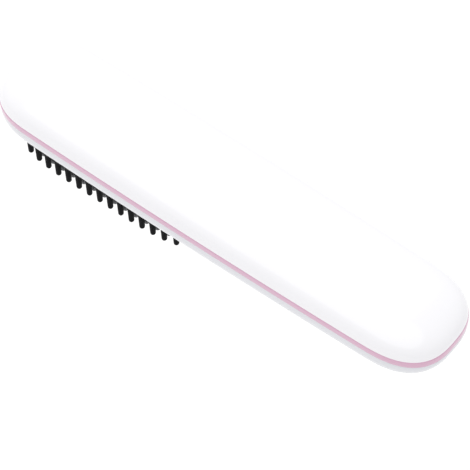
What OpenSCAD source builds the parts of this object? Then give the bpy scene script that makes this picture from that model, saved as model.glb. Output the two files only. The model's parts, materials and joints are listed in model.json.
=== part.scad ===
// Cordless hair straightening brush.
// X runs along the body, handle end at +X. Z is up through the plain back. The tooth tips stand on Z = 0.

/* [Body] */
// Overall length of the two shells
body_l = 200; // [199.8:0.2:204]
// Width of the shells at the middle of the body
body_w = 42.8; // [42.6:0.2:44]
// How far each side draws in between the middle and the ends
barrel = 1.3; // [1:0.1:1.4]
// Length of the rounded end of the handle
handle_cap = 27; // [26.5:0.5:28.5]
// Length of the rounded end of the head
head_cap = 22; // [21.5:0.5:22.5]
// Height of the back shell above the trim band
back_h = 9.3; // [9.3:0.1:10.5]
// Height of the trim band
band_h = 3.4; // [3.2:0.1:3.8]
// Height of the front shell under the trim band
front_h = 11.8; // [11.6:0.1:12.2]
// Wall of the two shells
wall = 2; // [1.9:0.05:2.1]
// How far the trim band stands proud of the shells
band_proud = 0.15; // [0.05:0.05:0.3]

/* [Comb] */
// Length of the guard teeth under the comb's face
tooth_l = 10.6; // [9.6:0.2:11.6]
// Spacing of the teeth along the brush
pitch = 4.91; // [4.88:0.01:4.94]
// Columns of teeth: guard teeth along both sides and heated teeth between them
columns = 15; // [13:2:15]
// Guard teeth round each end of the comb
end_guards = 5; // [4:1:5]
// Middle of the comb along the body
comb_x = -49.5; // [-49.8:0.1:-49.2]
// Half the length of the ring of guard teeth
guard_a = 41; // [40.6:0.1:41.1]
// Half the width of the ring of guard teeth
guard_b = 15.9; // [15.7:0.1:16.1]
// Diameter of a guard tooth at its rounded tip
tip_d = 2.1; // [1.8:0.1:2.3]
// Diameter of a guard tooth at its root
root_d = 2.6; // [2.4:0.1:2.7]
// Thickness of a heated tooth along the brush
heat_t = 3; // [2.2:0.1:3.1]
// Width of a heated tooth across the brush
heat_w = 4.6; // [4.2:0.1:4.8]
// How much shorter the heated teeth are than the guard teeth
heat_short = 0.4; // [0.4:0.1:2]

/* [Buttons] */
// Diameter of the power button
power_d = 11; // [9:0.2:11]
// Diameter of the two temperature buttons
temp_d = 8; // [7:0.2:8.2]
// How far a button stands out of the shell
button_proud = 0.4; // [0.2:0.1:0.8]
// Travel of a button
travel = 0.4; // [0.2:0.05:0.45]
// Place of the power button along the body
power_x = 54; // [53:0.5:56]
// Place of the warmer button
warmer_x = 29; // [28.5:0.5:30]
// Place of the cooler button
cooler_x = 40; // [39.5:0.5:41]
// Length of the display window
lens_l = 14; // [12:0.5:15]
// Width of the display window
lens_w = 8; // [7:0.5:8.5]

/* [Battery] */
// Length of one pouch cell
cell_l = 56; // [50:1:56]
// Width of one pouch cell
cell_w = 30; // [26:1:30]
// Thickness of one pouch cell
cell_t = 4.8; // [4:0.1:4.8]

/* [Hidden] */

// Levels, upwards from the tooth tips
frame_proud = 0.7;
face_z = tooth_l;
under_z = face_z + frame_proud;
band_z0 = under_z + front_h;
band_z1 = band_z0 + band_h;
crown_z = band_z1 + back_h;
floor_z = under_z + wall;

// Plan outline of the body
handle_x = body_l / 2 - handle_cap;
head_x = body_l / 2 - head_cap;
handle_p = 2.7;
head_p = 2.7;
cap_steps = 14;
side_steps = 6;

// Section of the shells: how square each one is at the sides, the handle end and the head end
back_p = [2.9, 2.4, 2.4];
front_p = [3.25, 2.5, 2.8];
back_flat = 10;
front_flat = 14;
rise_steps = 10;

// Tongue of the trim band and the rebates that it sits in
tongue_t = 0.8;
tongue_h = 1.2;
rebate_h = 1.35;
rebate_wall = wall - tongue_t - 0.1;

// Comb frame
oval_p = 4.5;
oval_steps = 24;
frame_edge = 1.8;
frame_a = guard_a + frame_edge;
frame_b = guard_b + frame_edge;
frame_gap = 0.15;
window_a = frame_a + frame_gap;
window_b = frame_b + frame_gap;
frame_wall = 1.5;
room_a = frame_a - frame_wall;
room_b = frame_b - frame_wall;
frame_plate = 2.6;
frame_chamfer = 0.3;
cup_top = under_z + 6;
ledge_w = 2;
ledge_h = 0.5;
collar_w = 1.4;
collar_top = under_z + 5.1;
ear_z = under_z + 7.5;
ear_t = 1.4;
ear_d = 4.6;
left_ear = [-94.9, 0];
right_ears = [[-3.6, -8], [-3.6, 8]];
ears = concat([left_ear], right_ears);
ear_web = 2.3;
ear_screw_l = 4.8;
field_half = (columns - 1) / 2;
slot_w = heat_t + 0.5;
slot_end = 0.15;
slot_margin = 0.1;
slot_round = 0.8;
heat_round = 0.5;
root_flare = 0.1;

// Heater stack on the comb, from its plate upwards
plate_z = face_z + frame_plate + ledge_h;
plate_t = 3;
plate_a = guard_a - 4.4;
plate_b = guard_b - 0.4;
plate_p = 8;
ceramic = [32, 14, 1.5];
ceramic_z = plate_z + plate_t;
ceramic_off = 18;
mica_t = 0.4;
mica_z = ceramic_z + ceramic[2];
pad_size = [70, 17, 1.8];
pad_z = mica_z + mica_t;
clamp_z = pad_z + pad_size[2];
clamp_t = 0.8;
clamp_post = [39, 8];
clamp_post_d = 4;
clamp_screw_l = 6;
shield_t = 0.5;
shield_rise = 2.6;
shield_w = 24;
fuse_at = [-32, 12];
fuse_l = 8;
fuse_d = 3.2;
bead_at = [-60, -12];
bead_d = 2;

// Screws
thread_hole_d = 1.7;
thread_d = 1.62;
clear_d = 2.3;
head_d = 3.4;
head_h = 1.3;

// Screws that hold the shells together
shell_screws_xy = [[-94.9, -7], [-94.9, 7], [6, -16.2], [6, 16.2], [80, -13], [80, 13]];
seat_z = under_z + 4.5;
shell_screw_l = 9;
post_top = under_z + 8.2;
post_d = 5.6;
boss_d = 4.2;
recess_d = 3.9;

// Main board
board_z = under_z + 4.8;
board_t = 1.2;
board_top = board_z + board_t;
board_x0 = 1;
board_wide_x = 75;
board_x1 = 93.6;
board_half = 13;
board_nose = 7.5;
board_screws_xy = [[14, -10.6], [14, 10.6], [66, -10.6], [66, 10.6]];
board_screw_l = 3.6;
board_slack = 0.15;
coil_x = 80;
standoff_d = 4.6;

// Switches and buttons
flange_h = 0.7;
flange_over = 1.4;
flange_gap = 0.4;
button_gap = 0.3;
guide_w = 1;
guide_h = 1.3;
switch_w = 4.5;
switch_h = 1.5;
plunger_d = 2;
plunger_in = 0.5;
plunger_z = floor_z + flange_h;
switch_z = board_z - switch_h;
keys = [[power_x, power_d], [warmer_x, temp_d], [cooler_x, temp_d]];
lens_x = 13;
lens_r = 1.5;

// Charging socket
usb_w = 8.94;
usb_h = 3.26;
usb_wall = 0.3;
usb_x0 = 91.05;
usb_x1 = 98.4;
usb_z = board_top + usb_h / 2;

// Battery
tray_z = under_z + 8.8;
tray_t = 0.8;
tray_h = 5.5;
tray_x0 = 12.4;
cell_x0 = 16;
cell_z = tray_z + tray_t + 0.1;
cell_gap = 0.05;
cell_lip = [3.5, cell_w - 2, 0.4];
tray_x1 = cell_x0 + cell_l + 1;
rib_x = [20, 64];
rib_t = 1.4;
rib_gap = 0.4;
guard_board_x = 10.4;
guard_board = [1, 24, 8.4];
connector_x = 6.5;
connector = [4.4, 7, 5];
foam = [16, 16, 2.5];

// Leads, as routes through the middle of each wire, with heights measured from the front shell's face
heater_lead_d = 1.4;
sensor_lead_d = 0.8;
battery_lead_d = 1.6;
lead_sides = 8;
heater_end = comb_x + ceramic_off + ceramic[0] / 2;
heater_route = [[heater_end + 0.05, 3, 6.15], [heater_end + 2, 3, 6.15], [-9.5, 3.4, 7.3], [-5, 4, 7.7],
                [-1, 4.8, 7.6], [2.4, 5.2, 6.85], [4, 5.2, 6.7], [5.4, 5.2, 6.7]];
fuse_route = [[-21.95, 12, 7.05], [-20, 12, 7.05], [-10, 12.8, 7.4], [-4, 12, 7.7], [2.2, 9.4, 6.7],
              [3.6, 9.2, 6.42], [5, 9.2, 6.42]];
bead_route = [[-56.95, -12, 6.5], [-54, -12, 6.5], [-40, -12.4, 6.1], [-20, -12.6, 6.3], [-10, -12.8, 7.1],
              [-4, -12, 7.7], [2.2, -9.4, 6.7], [3.6, -9.2, 6.42], [5, -9.2, 6.42]];
battery_route = [[10.25, 5, 14.5], [9.3, 5, 14.5], [7.6, 3.9, 14], [6.7, 1.7, 12.4], [6.5, 1, 11.1],
                 [6.5, 1, 10.1]];

shell_white = "#f4f3f7";
trim_pink = "#e7bccf";
comb_black = "#17171a";
heat_grey = "#5a5a5f";
screw_grey = "#8d9096";

// Half the width of the body at a place along it
function half_w(x) = body_w / 2 - barrel * pow(x / (body_l / 2), 2);

// How far a superelliptic edge has drawn in at a share of its height
function drawn(share, reach, p) = reach * (1 - pow(1 - pow(share, p), 1 / p));

function round_x(a, p) = pow(cos(a), 2 / p);
function round_y(a, p) = pow(sin(a), 2 / p);

// The +Y half of the body's outline, from the handle's end to the head's
function outline_half(d_side, d_handle, d_head) = concat(
    [for (i = [0:cap_steps])
        let (a = 90 * i / cap_steps, x = handle_x + (handle_cap - d_handle) * round_x(a, handle_p))
        [x, (half_w(x) - d_side) * round_y(a, handle_p)]],
    [for (i = [1:side_steps - 1]) let (x = handle_x - (handle_x + head_x) * i / side_steps)
        [x, half_w(x) - d_side]],
    [for (i = [cap_steps:-1:0])
        let (a = 90 * i / cap_steps, x = -head_x - (head_cap - d_head) * round_x(a, head_p))
        [x, (half_w(x) - d_side) * round_y(a, head_p)]]);

// The whole outline at height z, drawn in at the sides and the two ends
function outline(z, d_side, d_handle, d_head) = let (h = outline_half(d_side, d_handle, d_head), n = len(h))
    concat([for (p = h) [p[0], p[1], z]], [for (i = [n - 2:-1:1]) [h[i][0], -h[i][1], z]]);

// The outline drawn in alike all round
function inset_outline(z, d) = outline(z, d, d, d);

// Share of the full height at each ring of a shell, so that the last ring leaves a flat of the given width
function rise(p, flat, i) = let (a = acos(pow(flat / body_w, p / 2)) * i / rise_steps) pow(sin(a), 2 / p);

// Ring number i of a shell's skin, which lies under the outer skin by the thickness given
function skin_ring(h, p, flat, under, i) =
    let (s = rise(p[0], flat, i), full = rise(p[0], flat, rise_steps))
    outline((h - under) * s / full,
            under + drawn(s, body_w / 2 - under, p[0]),
            under + drawn(s, handle_cap - under, p[1]),
            under + drawn(s, head_cap - under, p[2]));

// An oval of the comb's family
function oval(a, b, p, z) = [for (i = [0:4 * oval_steps - 1]) let (t = 90 * i / oval_steps)
    [comb_x + a * sign(cos(t)) * pow(abs(cos(t)), 2 / p), b * sign(sin(t)) * pow(abs(sin(t)), 2 / p), z]];

function flat_points(ring) = [for (p = ring) [p[0], p[1]]];

// Triangles between ring i and ring j of n points each
function wall_faces(i, j, n) = [for (k = [0:n - 1]) let (m = (k + 1) % n)
    each [[i * n + k, j * n + k, j * n + m], [i * n + k, j * n + m, i * n + m]]];

// A solid whose closed rings are joined upwards, with a flat face at each end
module loft(rings) {
    n = len(rings[0]);
    last = len(rings) - 1;
    walls = [for (i = [0:last - 1]) each wall_faces(i, i + 1, n)];
    bottom = [[for (k = [0:n - 1]) k]];
    top = [[for (k = [n - 1:-1:0]) last * n + k]];
    polyhedron(points = [for (r = rings) each r], faces = concat(walls, bottom, top), convexity = 6);
}

// A shell standing on its open rim at Z = 0, with a rebate inside the rim for the trim's tongue
module bowl(h, p, flat) {
    outer = [for (i = [0:rise_steps]) skin_ring(h, p, flat, 0, i)];
    inner = [for (i = [rise_steps:-1:1]) skin_ring(h, p, flat, wall, i)];
    rim = [inset_outline(rebate_h, wall), inset_outline(rebate_h, rebate_wall),
           inset_outline(0, rebate_wall)];
    rings = concat(outer, inner, rim);
    n = len(rings[0]);
    last = len(rings) - 1;
    walls = [for (i = [0:last]) if (i != rise_steps) each wall_faces(i, (i + 1) % (last + 1), n)];
    top = [[for (k = [n - 1:-1:0]) rise_steps * n + k]];
    ceiling = [[for (k = [0:n - 1]) (rise_steps + 1) * n + k]];
    polyhedron(points = [for (r = rings) each r], faces = concat(walls, top, ceiling), convexity = 8);
}

// The room inside a shell's outer skin, short of it by a margin, which trims whatever stands on the wall
module bowl_room(h, p, flat, margin) {
    loft([for (i = [0:rise_steps]) skin_ring(h, p, flat, margin, i)]);
}

module at(places) {
    for (p = places) translate(p) children();
}

module slab(size, r) {
    linear_extrude(size[2]) rounded(size[0], size[1], r);
}

// A rectangle with round corners about the origin, from true circles
module rounded(l, w, r) {
    square([l - 2 * r, w], center = true);
    square([l, w - 2 * r], center = true);
    for (x = [-1, 1], y = [-1, 1]) translate([x * (l / 2 - r), y * (w / 2 - r)]) circle(r, $fn = 32);
}

module oval_prism(a, b, p, z0, z1) {
    translate([0, 0, z0]) linear_extrude(z1 - z0) polygon(flat_points(oval(a, b, p, 0)));
}

// A screw whose head sits on the origin, thread downwards
module screw(length) {
    difference() {
        cylinder(h = head_h, d = head_d, $fn = 40);
        for (a = [0, 90]) rotate(a) translate([-1, -0.25, head_h - 0.6]) cube([2, 0.5, 1]);
    }
    translate([0, 0, -length]) cylinder(h = length + 0.1, d = thread_d, $fn = 32);
}

// Points of a smooth curve through a route
function curve_point(p, i, t) =
    let (a = p[max(i - 1, 0)], b = p[i], c = p[i + 1], d = p[min(i + 2, len(p) - 1)])
    0.5 * (2 * b + (c - a) * t + (2 * a - 5 * b + 4 * c - d) * t * t + (3 * b - a - 3 * c + d) * t * t * t);
function curve(p, n) =
    concat([for (i = [0:len(p) - 2], k = [0:n - 1]) curve_point(p, i, k / n)], [p[len(p) - 1]]);

// A wire of one diameter along a route that never runs along Y
module lead(route, d, steps) {
    c = curve(route, steps);
    n = len(c);
    translate([0, 0, under_z]) loft([for (i = [0:n - 1]) let (
            step = c[min(i + 1, n - 1)] - c[max(i - 1, 0)],
            dir = step / norm(step),
            u = cross([0, 1, 0], dir) / norm(cross([0, 1, 0], dir)),
            v = cross(dir, u))
        [for (k = [0:lead_sides - 1]) let (t = 360 * k / lead_sides)
            c[i] + d / 2 * (cos(t) * u + sin(t) * v)]]);
}

// Back shell: the plain glossy cover, with the bosses that the shell screws bite into
module back_shell() color(shell_white) {
    difference() {
        union() {
            translate([0, 0, band_z1]) bowl(back_h, back_p, back_flat);
            intersection() {
                translate([0, 0, band_z1]) union() {
                    bowl_room(back_h, back_p, back_flat, wall / 2);
                    translate([0, 0, -band_z1]) linear_extrude(band_z1)
                        polygon(flat_points(inset_outline(0, wall + 0.8)));
                }
                at(shell_screws_xy) translate([0, 0, post_top])
                    cylinder(h = crown_z - post_top, d = boss_d, $fn = 40);
            }
        }
        at(shell_screws_xy) translate([0, 0, post_top - 1]) cylinder(h = 9, d = thread_hole_d, $fn = 32);
    }
}

// Everything that stands up inside the front shell
module front_posts() {
    difference() {
        oval_prism(window_a + collar_w, window_b + collar_w, oval_p, under_z, collar_top);
        oval_prism(window_a, window_b, oval_p, under_z - 1, collar_top + 1);
    }
    translate([0, 0, under_z]) {
        at(ears) cylinder(h = ear_z - under_z, d = ear_d, $fn = 40);
        at(shell_screws_xy) cylinder(h = post_top - under_z, d = post_d, $fn = 40);
        at(board_screws_xy) cylinder(h = board_z - under_z, d = standoff_d, $fn = 40);
        for (x = rib_x, s = [0, 1]) mirror([0, s, 0])
            translate([x - rib_t / 2, board_half + rib_gap, 0]) cube([rib_t, 8, tray_z - under_z]);
    }
    for (k = keys) translate([k[0], 0, floor_z - 0.5])
        cylinder(h = guide_h + 0.5, d = k[1] + flange_over + flange_gap + 2 * guide_w, $fn = 64);
}

// Front shell: the tooth side, with the comb's window, the button holes and the charging port
module front_shell() color(shell_white) {
    difference() {
        union() {
            translate([0, 0, band_z0]) mirror([0, 0, 1]) bowl(front_h, front_p, front_flat);
            intersection() {
                translate([0, 0, band_z0]) mirror([0, 0, 1])
                    bowl_room(front_h, front_p, front_flat, wall / 2);
                front_posts();
            }
        }
        oval_prism(window_a, window_b, oval_p, 0, collar_top + 1);
        at(ears) translate([0, 0, ear_z - 3.9]) cylinder(h = 5, d = thread_hole_d, $fn = 32);
        at(shell_screws_xy) cylinder(h = seat_z, d = recess_d, $fn = 40);
        at(shell_screws_xy) cylinder(h = post_top + 1, d = clear_d, $fn = 32);
        at(board_screws_xy) translate([0, 0, floor_z + 0.2]) cylinder(h = 5, d = thread_hole_d, $fn = 32);
        for (k = keys) translate([k[0], 0, 0]) {
            cylinder(h = floor_z + 5, d = k[1] + button_gap, $fn = 64);
            translate([0, 0, floor_z]) cylinder(h = 5, d = k[1] + flange_over + flange_gap, $fn = 64);
        }
        translate([board_x1 - 10, -board_nose - board_slack, board_z - board_slack])
            cube([10 + board_slack, 2 * (board_nose + board_slack), board_t + 2 * board_slack]);
        translate([lens_x, 0, 0]) linear_extrude(floor_z + 1) rounded(lens_l + 0.2, lens_w + 0.2, lens_r);
        translate([usb_x0, 0, usb_z]) rotate([90, 0, 90])
            linear_extrude(12) rounded(usb_w + 0.36, usb_h + 0.36, usb_h / 2);
    }
}

// Trim band: the pink ring between the shells, with a tongue that locates both
module trim_band() color(trim_pink) {
    bevel = 0.4;
    slope = 0.25;
    tongue = wall - tongue_t;
    section = [[slope, band_z0], [-band_proud, band_z0 + bevel], [-band_proud, band_z1 - bevel],
               [slope, band_z1], [tongue, band_z1], [tongue, band_z1 + tongue_h], [wall, band_z1 + tongue_h],
               [wall, band_z0 - tongue_h], [tongue, band_z0 - tongue_h], [tongue, band_z0]];
    rings = [for (s = section) inset_outline(s[1], s[0])];
    n = len(rings[0]);
    count = len(rings);
    polyhedron(points = [for (r = rings) each r],
               faces = [for (i = [0:count - 1]) each wall_faces(i, (i + 1) % count, n)], convexity = 8);
}

// Outline of a guard tooth from its rounded tip to its root
function tooth_side() = let (r = tip_d / 2) concat(
    [[0, 0]],
    [for (i = [1:5]) let (a = 17 * i) [r * sin(a), r * (1 - cos(a))]],
    [[root_d / 2, tooth_l - 0.5], [root_d / 2 + root_flare, tooth_l],
     [root_d / 2 + root_flare, tooth_l + 0.9], [0, tooth_l + 0.9]]);

// Length along the ring of guard teeth up to point i of its polygon
function ring_run(ring, i) = i == 0 ? 0 : ring_run(ring, i - 1) + norm(ring[i] - ring[i - 1]);
ring = let (o = oval(guard_a, guard_b, oval_p, 0), n = len(o))
    [for (i = [0:n]) o[(i + 3 * oval_steps) % n]];
runs = [for (i = [0:len(ring) - 1]) ring_run(ring, i)];
ring_l = runs[len(runs) - 1];
function ring_place(s) = let (
        run = s < 0 ? s + ring_l : s,
        i = max([for (j = [0:len(runs) - 2]) runs[j] <= run ? j : 0]))
    ring[i] + (ring[i + 1] - ring[i]) * (run - runs[i]) / (runs[i + 1] - runs[i]);

// Places of the guard teeth: at the pitch along each side, and evenly over what is left round each end
end_step = (ring_l / 2 - (columns - 1) * pitch) / (end_guards + 1);
guard_places = [for (side = [0, 1]) each concat(
    [for (c = [-field_half:field_half]) ring_place(side * ring_l / 2 + c * pitch)],
    [for (j = [1:end_guards]) ring_place(side * ring_l / 2 + field_half * pitch + j * end_step)])];

// Steps from the middle of a column to its last heated tooth: five teeth, but four in the end columns
function rows_at(c) = abs(c) < field_half ? 2 : 1.5;

// Half the width of the ring of guard teeth at a place along it
function ring_half(x) = guard_b * pow(1 - pow(x / guard_a, oval_p), 1 / oval_p);

// Spacing of the heated teeth in a column, drawn in with the ring so that its slot clears the guard teeth
function step_at(c) = let (
        limit = ring_half(abs(c) * pitch) - root_d / 2 - root_flare - slot_margin)
    (limit - slot_end - heat_w / 2) / rows_at(c);

// Comb frame: black heat-resistant cup that carries the ring of guard teeth
module comb_frame() color(comb_black) {
    post_z = face_z + frame_plate - 0.2;
    difference() {
        union() {
            frame_cup();
            clamp_places(post_z) cylinder(h = clamp_z - post_z, d = clamp_post_d, $fn = 32);
            for (e = right_ears) frame_ear(e, comb_x + frame_a - ear_web);
            frame_ear(left_ear, comb_x - frame_a + frame_wall);
        }
        clamp_places(post_z + 2) cylinder(h = clamp_z, d = thread_hole_d, $fn = 32);
        at(ears) cylinder(h = 30, d = clear_d, $fn = 32);
    }
    at(guard_places) rotate_extrude($fn = 24) polygon(tooth_side());
}

// The cup, with its ledge for the heater comb and a slot for each column of heated teeth
module frame_cup() difference() {
    loft([oval(frame_a - frame_chamfer, frame_b - frame_chamfer, oval_p, face_z),
          oval(frame_a, frame_b, oval_p, face_z + frame_chamfer),
          oval(frame_a, frame_b, oval_p, cup_top)]);
    oval_prism(room_a - ledge_w, room_b - ledge_w, oval_p, face_z + frame_plate, cup_top + 1);
    oval_prism(room_a, room_b, oval_p, plate_z, cup_top + 1);
    for (c = [-field_half:field_half]) translate([comb_x + c * pitch, 0, 0]) linear_extrude(plate_z)
        rounded(slot_w, 2 * rows_at(c) * step_at(c) + heat_w + 2 * slot_end, slot_round);
}

// One screw ear, reaching out of the cup's end wall
module frame_ear(place, wall_x) {
    inner = min(place[0], wall_x);
    translate([inner, place[1] - ear_d / 2, ear_z]) cube([abs(place[0] - wall_x), ear_d, ear_t]);
    translate([wall_x - (wall_x < comb_x ? frame_wall : 0), place[1] - ear_d / 2, cup_top - 1])
        cube([frame_wall, ear_d, ear_z + ear_t - cup_top + 1]);
    translate([place[0], place[1], ear_z]) cylinder(h = ear_t, d = ear_d, $fn = 40);
}

// The four places at the ends of the cup where the clamp plate is screwed down
module clamp_places(z) {
    for (x = [-1, 1], y = [-1, 1]) translate([comb_x + x * clamp_post[0], y * clamp_post[1], z]) children();
}

// Heater comb: die-cast aluminium plate whose teeth pass through the frame
module heater_comb() color(heat_grey) {
    oval_prism(plate_a, plate_b, plate_p, plate_z, plate_z + plate_t);
    for (c = [-field_half:field_half], r = [-rows_at(c):rows_at(c)])
        translate([comb_x + c * pitch, r * step_at(c), heat_short]) heated_tooth(plate_z + 1 - heat_short);
}

// One heated tooth: a flat finger with a round tip
module heated_tooth(h) {
    intersection() {
        linear_extrude(h) rounded(heat_t, heat_w, heat_round);
        rotate([90, 0, 0]) linear_extrude(heat_w + 1, center = true) {
            translate([0, heat_t / 2]) circle(heat_t / 2, $fn = 32);
            translate([-heat_t / 2, heat_t / 2]) square([heat_t, h]);
        }
    }
}

// Two ceramic heating plates
module ceramic_heaters() color("#efe9dc") {
    for (s = [-1, 1]) translate([comb_x + s * ceramic_off, 0, ceramic_z]) slab(ceramic, 0.6);
}

module mica_sheet() color("#b9a27a") {
    translate([comb_x, 0, mica_z]) slab([pad_size[0], pad_size[1], mica_t], 1);
}

module fibre_pad() color("#f1efe8") {
    translate([comb_x, 0, pad_z]) slab(pad_size, 1.5);
}

// Clamp plate: stainless sheet that presses the heaters on to the comb
module clamp_plate() color("#b8bbc0") {
    difference() {
        translate([comb_x, 0, clamp_z]) slab([2 * clamp_post[0] + 4, 2 * clamp_post[1] + 6, clamp_t], 3);
        clamp_places(clamp_z - 1) cylinder(h = clamp_t + 2, d = clear_d, $fn = 32);
        for (x = [-24, 0, 24]) translate([comb_x + x, 0, clamp_z - 1]) slab([12, 7, clamp_t + 2], 2);
    }
}

// Heat shield: a bent sheet that keeps the heat off the back shell
module heat_shield() color("#d5d8dc") {
    foot_x = clamp_post[0] + 2.4;
    bend_x = clamp_post[0] - 2.2;
    z0 = clamp_z + clamp_t;
    z1 = z0 + shield_rise;
    difference() {
        translate([comb_x, shield_w / 2, z0]) rotate([90, 0, 0]) linear_extrude(shield_w)
            for (s = [0, 1]) mirror([s, 0]) {
                translate([bend_x - shield_t, 0]) square([foot_x - bend_x + shield_t, shield_t]);
                translate([bend_x - shield_t, 0]) square([shield_t, shield_rise]);
                translate([-0.1, shield_rise - shield_t]) square([bend_x + 0.1, shield_t]);
            }
        clamp_places(z0 - 1) cylinder(h = 3, d = clear_d, $fn = 32);
        for (x = [-24, -12, 0, 12, 24]) translate([comb_x + x, 0, z1 - 2]) slab([3, 14, 3], 1.45);
    }
}

module clamp_screws() color(screw_grey) {
    clamp_places(clamp_z + clamp_t + shield_t) screw(clamp_screw_l);
}

module frame_screws() color(screw_grey) {
    at(ears) translate([0, 0, ear_z + ear_t]) screw(ear_screw_l);
}

// Thermal fuse: a small can lying on the comb's plate
module thermal_fuse() color("#c9a24a") {
    translate([fuse_at[0], fuse_at[1], ceramic_z + fuse_d / 2 + 0.05]) rotate([0, 90, 0]) {
        cylinder(h = fuse_l, d = fuse_d, $fn = 40);
        translate([0, 0, -2]) cylinder(h = fuse_l + 4, d = 0.7, $fn = 24);
    }
}

// Thermistor: a glass sleeve and the root of its legs, beside the heaters
module thermistor() color("#3b2a1e") {
    translate([bead_at[0], bead_at[1], ceramic_z + bead_d / 2 + 0.1]) {
        rotate([0, 90, 0]) cylinder(h = bead_d * 1.6, d = bead_d, center = true);
        rotate([0, 90, 0]) cylinder(h = 3, d = bead_d / 2);
    }
}

module heater_leads() color("#b3202a") {
    for (s = [0, 1]) mirror([0, s, 0]) lead(heater_route, heater_lead_d, 3);
}

module sensor_leads() color("#e8e4da") {
    lead(fuse_route, sensor_lead_d, 3);
    lead(bead_route, sensor_lead_d, 3);
}

// Main board, narrowed between the handle's screw posts
module main_board() color("#2f6b46") {
    translate([0, 0, board_z]) linear_extrude(board_t) difference() {
        union() {
            translate([board_x0, -board_half]) square([board_wide_x - board_x0, 2 * board_half]);
            translate([board_x0, -board_nose]) square([board_x1 - board_x0, 2 * board_nose]);
        }
        at(board_screws_xy) circle(d = clear_d, $fn = 32);
    }
}

module board_screws() color(screw_grey) {
    at(board_screws_xy) translate([0, 0, board_top]) screw(board_screw_l);
}

// Push switches under the board, each with a pocket for its plunger
module switch_bodies() color("#2a2a2d") {
    for (k = keys) translate([k[0], 0, switch_z]) difference() {
        slab([switch_w, switch_w, switch_h], 0.4);
        translate([0, 0, -1]) cylinder(h = 1 + plunger_in + travel + 0.1, d = plunger_d + 0.3, $fn = 32);
    }
}

module plunger(x) {
    translate([x, 0, plunger_z]) cylinder(h = switch_z - plunger_z + plunger_in, d = plunger_d, $fn = 32);
}
module power_plunger() color("#8a8178") plunger(power_x);
module warmer_plunger() color("#8a8178") plunger(warmer_x);
module cooler_plunger() color("#8a8178") plunger(cooler_x);

// A button: a cap through the wall and a flange that stops it falling out, less the mark sunk in its face
module button(x, d) {
    bevel = 0.5;
    low = under_z - button_proud;
    translate([x, 0, 0]) difference() {
        rotate_extrude($fn = 64) polygon([
            [0, low], [d / 2 - bevel, low], [d / 2 - bevel * 0.3, low + bevel * 0.3], [d / 2, low + bevel],
            [d / 2, floor_z], [(d + flange_over) / 2, floor_z], [(d + flange_over) / 2, floor_z + flange_h],
            [0, floor_z + flange_h]]);
        translate([0, 0, low - 1]) linear_extrude(1.25) children();
    }
}

module power_button() color(trim_pink) button(power_x, power_d) {
    difference() {
        circle(2.4, $fn = 48);
        circle(1.8, $fn = 48);
        translate([-0.9, 0]) square([1.8, 3]);
    }
    translate([-0.3, 0.6]) square([0.6, 2.2]);
}

module warmer_button() color(shell_white) button(warmer_x, temp_d) {
    square([3, 0.7], center = true);
    square([0.7, 3], center = true);
}

module cooler_button() color(shell_white) button(cooler_x, temp_d) {
    square([0.7, 3], center = true);
}

// Display window: a smoked plug with an inner flange
module display_lens() color("#2b2b33") {
    translate([lens_x, 0, under_z + 0.1]) slab([lens_l, lens_w, wall], lens_r);
    translate([lens_x, 0, floor_z]) slab([lens_l + 3, lens_w + 3, 0.7], lens_r);
}

module display_module() color("#3d3d42") {
    translate([lens_x, 0, board_z - 1.9]) slab([lens_l + 1, lens_w + 1, 1.9], 0.5);
}

// Chips on the board: the controller, the power stage and the charger
module control_chips() color("#1d1d1f") {
    translate([0, 0, board_top]) {
        translate([26, -4, 0]) slab([7, 7, 1], 0.2);
        translate([40, 5, 0]) slab([5, 6, 1.4], 0.2);
        translate([50, -5, 0]) slab([5, 6, 1.4], 0.2);
        translate([60, 2, 0]) slab([4, 4, 0.9], 0.2);
    }
}

module power_inductor() color("#4a4a4e") {
    translate([coil_x, -board_nose / 2, board_top]) slab([6.4, 6.4, 3], 1.2);
}

module smoothing_capacitor() color("#c6c9ce") {
    translate([coil_x, board_nose / 2, board_top]) cylinder(h = 5.4, d = 6.3, $fn = 48);
}

// Metal shell of the charging socket
module usb_shell() color("#b9bcc1") {
    translate([usb_x0, 0, usb_z]) rotate([90, 0, 90]) difference() {
        linear_extrude(usb_x1 - usb_x0) rounded(usb_w, usb_h, usb_h / 2 - 0.03);
        translate([0, 0, usb_wall]) linear_extrude(usb_x1 - usb_x0)
            rounded(usb_w - 2 * usb_wall, usb_h - 2 * usb_wall, usb_h / 2 - usb_wall - 0.03);
    }
}

module usb_tongue() color("#18181a") {
    translate([usb_x0 + usb_wall, 0, usb_z]) rotate([90, 0, 90]) {
        linear_extrude(1.6)
            rounded(usb_w - 2 * usb_wall - 0.1, usb_h - 2 * usb_wall - 0.1, usb_h / 2 - usb_wall - 0.1);
        linear_extrude(6) square([6.7, 0.7], center = true);
    }
}

module battery_connector() color("#efece4") {
    translate([connector_x, 0, board_top]) difference() {
        slab(connector, 0.3);
        translate([0, 0, connector[2] - 1]) slab([3, 5.6, 2], 0.3);
    }
}

// Two pouch cells, one on the other, each with its sealed lip at the terminal end
module battery_cells() color("#c9ced6") {
    for (i = [0, 1]) translate([cell_x0, 0, cell_z + i * (cell_t + cell_gap)]) {
        translate([cell_l / 2, cell_w / 2, cell_t / 2]) rotate([90, 0, 0]) linear_extrude(cell_w)
            rounded(cell_l, cell_t, 1.6);
        translate([-cell_lip[0], -cell_lip[1] / 2, (cell_t - cell_lip[2]) / 2])
            cube([cell_lip[0] + 1, cell_lip[1], cell_lip[2]]);
    }
}

// Nickel tabs from the cells' lips to the protection board
module cell_tabs() color("#d8d9d6") {
    for (i = [0, 1], s = [-1, 1]) translate([guard_board_x + guard_board[0], s * 7 - 2,
                                             cell_z + i * (cell_t + cell_gap) + (cell_t + cell_lip[2]) / 2])
        cube([2.2, 4, 0.2]);
}

module protection_board() color("#23563a") {
    translate([guard_board_x, -guard_board[1] / 2, cell_z + 0.4]) cube(guard_board);
}

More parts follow.
